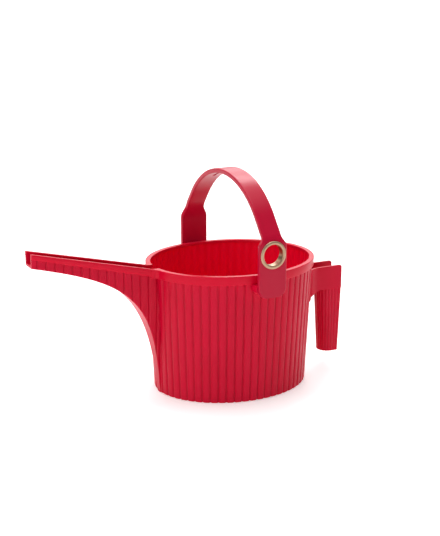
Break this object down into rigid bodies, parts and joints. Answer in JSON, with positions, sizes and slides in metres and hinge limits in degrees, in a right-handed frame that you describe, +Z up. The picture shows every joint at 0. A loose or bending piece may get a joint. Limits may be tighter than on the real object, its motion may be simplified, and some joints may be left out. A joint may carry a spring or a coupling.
{
  "type": "watering can",
  "caption": "Oval ribbed plastic watering can with an open prow spout, a channel grip at the rear and a swinging bail handle with a metal eyelet.",
  "frame": {"origin": "centre of the oval underside", "axes": "+Z up, -X along the spout, +X towards the rear grip, Y along the bail's pivot axis"},
  "size_m": [0.388, 0.1998, 0.2535],
  "materials": {
    "red_plastic": "satin moulded plastic",
    "eyelet_metal": "satin champagne metal"
  },
  "bodies": {
    "can": {"vessel": "red_plastic", "rim_band": "red_plastic", "spout": "red_plastic", "spout_band_left": "red_plastic", "spout_band_right": "red_plastic", "pivot_pad_left": "red_plastic", "pivot_pad_right": "red_plastic", "pivot_pin_left": "red_plastic", "pivot_pin_right": "red_plastic", "grip_bracket": "red_plastic", "grip_leg": "red_plastic"},
    "bail": {"bail_handle": "red_plastic", "eyelet_barrel": "eyelet_metal", "eyelet_washer": "eyelet_metal"}
  },
  "joints": [
    {"name": "bail_pivot", "type": "hinge", "parent": "can", "child": "bail", "pos_m": [0, 0, 0.135], "axis": [0, 1, 0], "range_deg": [-75, 88]}
  ]
}
